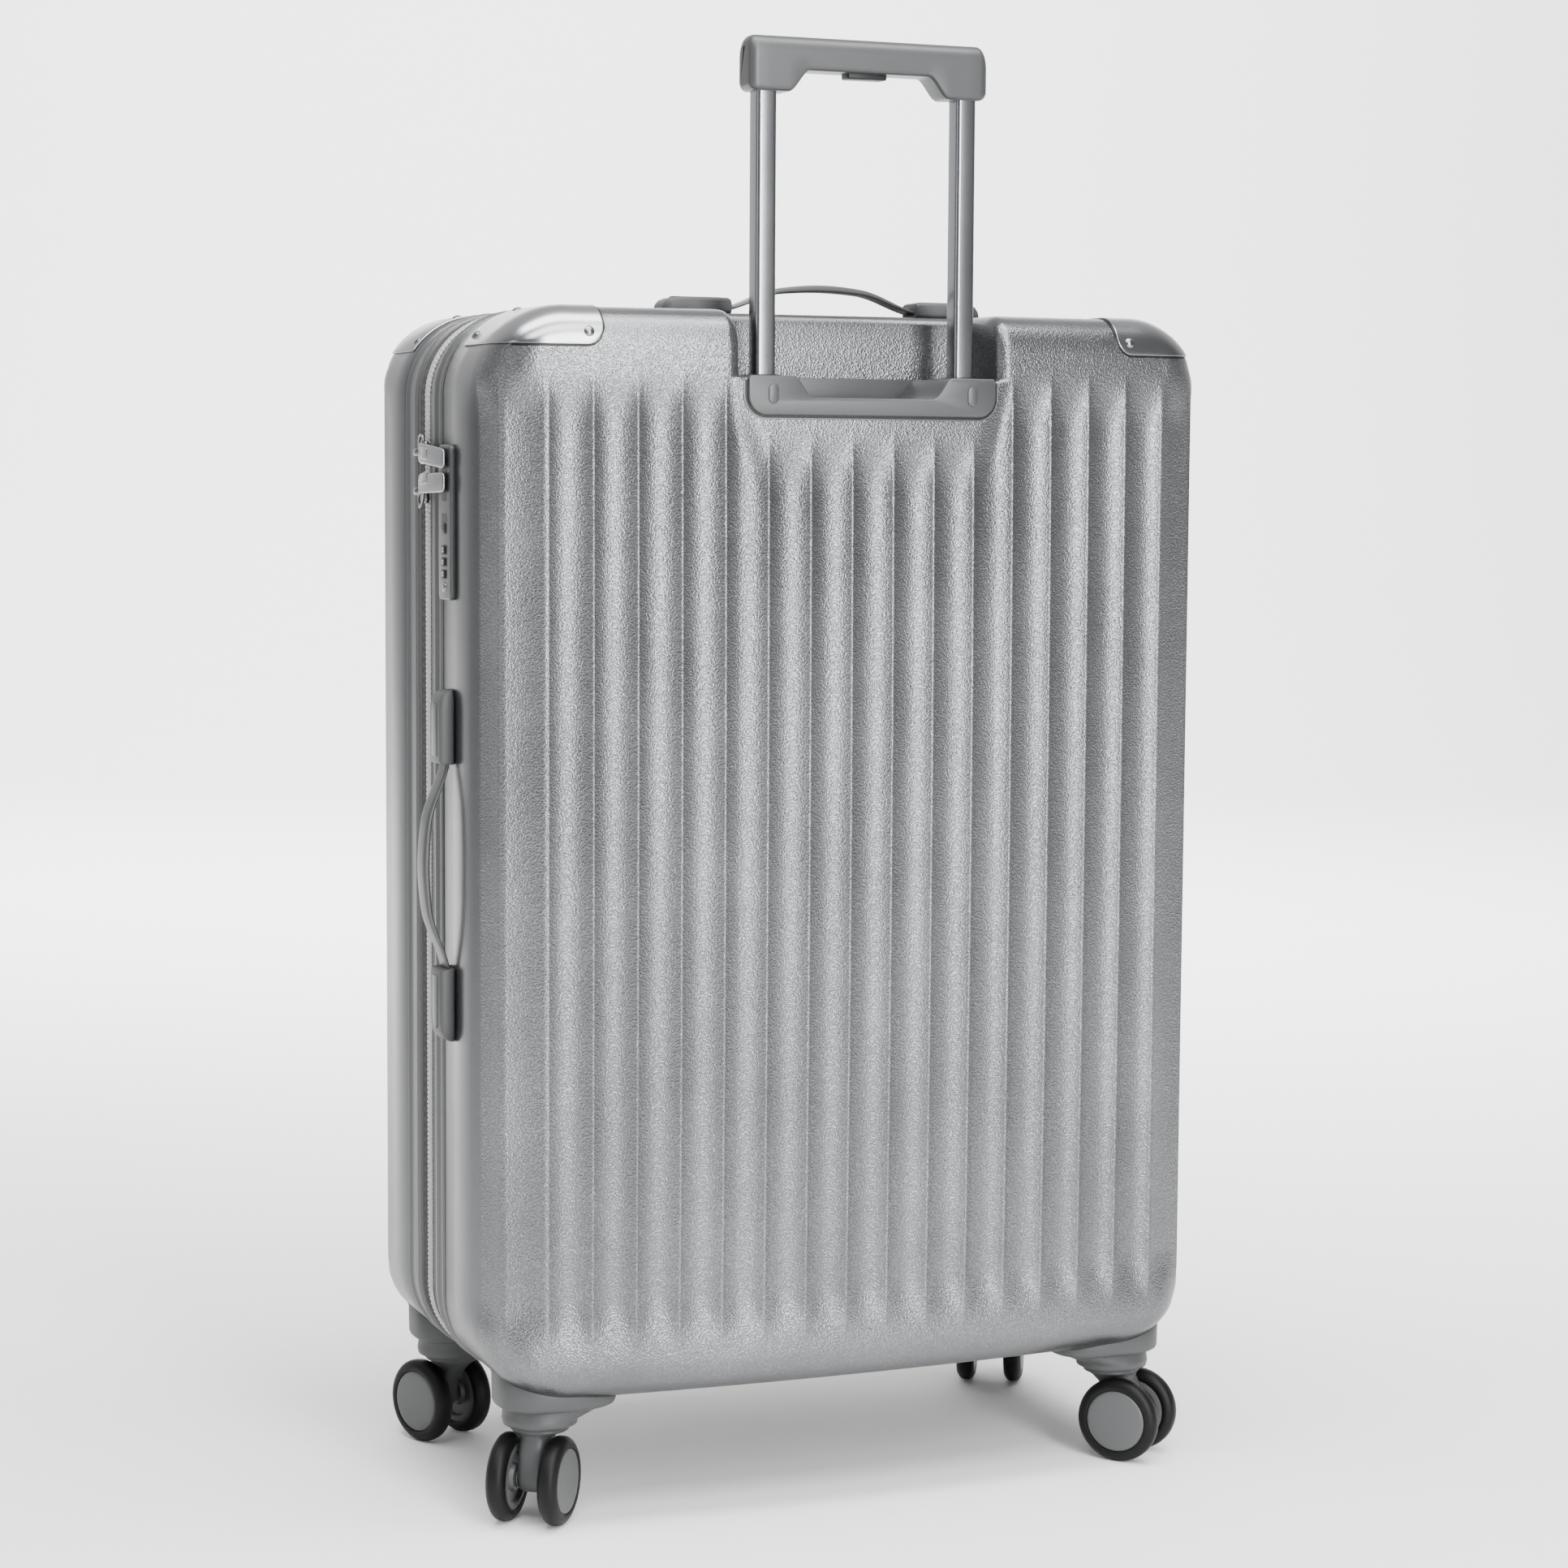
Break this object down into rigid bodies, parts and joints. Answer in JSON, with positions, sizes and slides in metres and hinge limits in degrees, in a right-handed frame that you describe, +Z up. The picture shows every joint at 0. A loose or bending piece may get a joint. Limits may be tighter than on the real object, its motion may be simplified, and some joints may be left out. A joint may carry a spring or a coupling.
{
  "type": "hard shell suitcase",
  "caption": "Tall hard shell suitcase on twin-wheel casters, with fluted silver shells, telescopic trolley handle, side combination lock, zipper, corner guards and carry handles.",
  "frame": {"origin": "bottom centre of the box of the whole object, on the floor under the wheels", "axes": "+Z up, +Y out of the back face that carries the trolley handle, +X out of the side with the lock and the side handle"},
  "size_m": [0.5462, 0.3056, 0.979],
  "materials": {
    "shell": "moulded polycarbonate with silver metallic film and a fine pebble grain",
    "rim": "satin extruded plastic piping",
    "tape": "grey woven zipper tape with a nylon coil",
    "guard": "satin pressed aluminium with rivets",
    "tube": "bright anodised aluminium",
    "sleeve": "dark anodised aluminium tube and moulded foot",
    "plastic": "satin grey moulded ABS",
    "disc": "satin grey moulded wheel disc",
    "tyre": "matt dark polyurethane",
    "dark_plastic": "dark moulded plastic",
    "zinc": "satin plated zinc"
  },
  "bodies": {
    "case": {"back_shell": "shell", "back_rim": "rim", "zip_tape_back": "tape", "hinge_tape": "tape", "corner_guard_back_left": "guard", "corner_guard_back_right": "guard", "caster_housing_back_left": "plastic", "caster_housing_back_right": "plastic", "trolley_sleeve_left": "sleeve", "trolley_sleeve_right": "sleeve", "trolley_bezel": "plastic", "trolley_foot": "sleeve", "top_handle_mount_a": "plastic", "top_handle_mount_b": "plastic", "side_handle_mount_a": "plastic", "side_handle_mount_b": "plastic", "lock_body": "plastic"},
    "lid": {"front_shell": "shell", "front_rim": "rim", "zip_tape_front": "tape", "corner_guard_front_left": "guard", "corner_guard_front_right": "guard", "caster_housing_front_left": "plastic", "caster_housing_front_right": "plastic"},
    "trolley": {"trolley_grip": "plastic", "trolley_tube_left": "tube", "trolley_tube_right": "tube"},
    "grip_button": {"grip_button": "dark_plastic"},
    "top_strap": {"top_handle_strap": "plastic"},
    "side_strap": {"side_handle_strap": "plastic"},
    "dial_1": {"lock_dial_1": "dark_plastic"},
    "dial_2": {"lock_dial_2": "dark_plastic"},
    "dial_3": {"lock_dial_3": "dark_plastic"},
    "lock_button": {"lock_button": "dark_plastic"},
    "key_cylinder": {"lock_key_cylinder": "zinc"},
    "slider_upper": {"zipper_slider_upper": "zinc"},
    "slider_lower": {"zipper_slider_lower": "zinc"},
    "pull_upper": {"zipper_pull_upper": "zinc"},
    "pull_lower": {"zipper_pull_lower": "zinc"},
    "caster_back_left": {"caster_fork_back_left": "plastic"},
    "wheel_back_left_a": {"wheel_disc_back_left_a": "disc", "wheel_tyre_back_left_a": "tyre"},
    "wheel_back_left_b": {"wheel_disc_back_left_b": "disc", "wheel_tyre_back_left_b": "tyre"},
    "caster_back_right": {"caster_fork_back_right": "plastic"},
    "wheel_back_right_a": {"wheel_disc_back_right_a": "disc", "wheel_tyre_back_right_a": "tyre"},
    "wheel_back_right_b": {"wheel_disc_back_right_b": "disc", "wheel_tyre_back_right_b": "tyre"},
    "caster_front_left": {"caster_fork_front_left": "plastic"},
    "wheel_front_left_a": {"wheel_disc_front_left_a": "disc", "wheel_tyre_front_left_a": "tyre"},
    "wheel_front_left_b": {"wheel_disc_front_left_b": "disc", "wheel_tyre_front_left_b": "tyre"},
    "caster_front_right": {"caster_fork_front_right": "plastic"},
    "wheel_front_right_a": {"wheel_disc_front_right_a": "disc", "wheel_tyre_front_right_a": "tyre"},
    "wheel_front_right_b": {"wheel_disc_front_right_b": "disc", "wheel_tyre_front_right_b": "tyre"}
  },
  "joints": [
    {"name": "trolley_slide", "type": "slide", "parent": "case", "child": "trolley", "axis": [0, 0, 1], "range_m": [-0.18, 0.15]},
    {"name": "grip_button_press", "type": "slide", "parent": "trolley", "child": "grip_button", "axis": [0, 0, 1], "range_m": [0, 0.0035], "stiffness_N_per_m": 600, "springref_m": -0.001},
    {"name": "lid_hinge", "type": "hinge", "parent": "case", "child": "lid", "pos_m": [-0.27815, 0.001, 0.443], "axis": [0, 0, -1], "range_deg": [0, 180]},
    {"name": "top_handle_lift", "type": "slide", "parent": "case", "child": "top_strap", "axis": [0, 0, 1], "range_m": [0, 0.004], "stiffness_N_per_m": 600, "springref_m": -0.001},
    {"name": "side_handle_lift", "type": "slide", "parent": "case", "child": "side_strap", "axis": [1, 0, 0], "range_m": [0, 0.004], "stiffness_N_per_m": 600, "springref_m": -0.001},
    {"name": "lock_button_slide", "type": "slide", "parent": "case", "child": "lock_button", "axis": [0, 0, 1], "range_m": [0, 0.005], "stiffness_N_per_m": 200, "springref_m": -0.001},
    {"name": "key_turn", "type": "hinge", "parent": "case", "child": "key_cylinder", "pos_m": [0.25505, 0.0565, 0.6195], "axis": [1, 0, 0], "range_deg": [0, 90]},
    {"name": "slider_upper_run", "type": "slide", "parent": "case", "child": "slider_upper", "axis": [0, 0, 1], "range_m": [0, 0.03]},
    {"name": "slider_lower_run", "type": "slide", "parent": "case", "child": "slider_lower", "axis": [0, 0, -1], "range_m": [0, 0.118]},
    {"name": "dial_1_turn", "type": "hinge", "parent": "case", "child": "dial_1", "pos_m": [0.24705, 0.0565, 0.644], "axis": [0, 0, 1], "continuous": true},
    {"name": "dial_2_turn", "type": "hinge", "parent": "case", "child": "dial_2", "pos_m": [0.24705, 0.0565, 0.636], "axis": [0, 0, 1], "continuous": true},
    {"name": "dial_3_turn", "type": "hinge", "parent": "case", "child": "dial_3", "pos_m": [0.24705, 0.0565, 0.628], "axis": [0, 0, 1], "continuous": true},
    {"name": "pull_upper_swing", "type": "hinge", "parent": "slider_upper", "child": "pull_upper", "pos_m": [0.25705, 0.0044, 0.708], "axis": [0, 0, -1], "range_deg": [0, 110]},
    {"name": "pull_lower_swing", "type": "hinge", "parent": "slider_lower", "child": "pull_lower", "pos_m": [0.25705, 0.0044, 0.682], "axis": [0, 0, -1], "range_deg": [0, 110]},
    {"name": "swivel_back_left", "type": "hinge", "parent": "case", "child": "caster_back_left", "pos_m": [0.20385, 0.09925, 0.06], "axis": [0, 0, 1], "continuous": true},
    {"name": "spin_back_left_a", "type": "hinge", "parent": "caster_back_left", "child": "wheel_back_left_a", "pos_m": [0.19767, 0.12058, 0.0295], "axis": [-0.788, 0.6157, 0], "continuous": true},
    {"name": "spin_back_left_b", "type": "hinge", "parent": "caster_back_left", "child": "wheel_back_left_b", "pos_m": [0.22604, 0.09841, 0.0295], "axis": [-0.788, 0.6157, 0], "continuous": true},
    {"name": "swivel_back_right", "type": "hinge", "parent": "case", "child": "caster_back_right", "pos_m": [-0.22415, 0.09925, 0.06], "axis": [0, 0, 1], "continuous": true},
    {"name": "spin_back_right_a", "type": "hinge", "parent": "caster_back_right", "child": "wheel_back_right_a", "pos_m": [-0.24626, 0.09725, 0.0295], "axis": [-0.7547, -0.6561, 0], "continuous": true},
    {"name": "spin_back_right_b", "type": "hinge", "parent": "caster_back_right", "child": "wheel_back_right_b", "pos_m": [-0.21909, 0.12087, 0.0295], "axis": [-0.7547, -0.6561, 0], "continuous": true},
    {"name": "swivel_front_left", "type": "hinge", "parent": "lid", "child": "caster_front_left", "pos_m": [0.20385, -0.10075, 0.06], "axis": [0, 0, 1], "continuous": true},
    {"name": "spin_front_left_a", "type": "hinge", "parent": "caster_front_left", "child": "wheel_front_left_a", "pos_m": [0.2255, -0.10568, 0.0295], "axis": [0.9205, 0.3907, 0], "continuous": true},
    {"name": "spin_front_left_b", "type": "hinge", "parent": "caster_front_left", "child": "wheel_front_left_b", "pos_m": [0.19236, -0.11975, 0.0295], "axis": [0.9205, 0.3907, 0], "continuous": true},
    {"name": "swivel_front_right", "type": "hinge", "parent": "lid", "child": "caster_front_right", "pos_m": [-0.22415, -0.10075, 0.06], "axis": [0, 0, 1], "continuous": true},
    {"name": "spin_front_right_a", "type": "hinge", "parent": "caster_front_right", "child": "wheel_front_right_a", "pos_m": [-0.21506, -0.12101, 0.0295], "axis": [0.866, -0.5, 0], "continuous": true},
    {"name": "spin_front_right_b", "type": "hinge", "parent": "caster_front_right", "child": "wheel_front_right_b", "pos_m": [-0.24624, -0.10301, 0.0295], "axis": [0.866, -0.5, 0], "continuous": true}
  ]
}
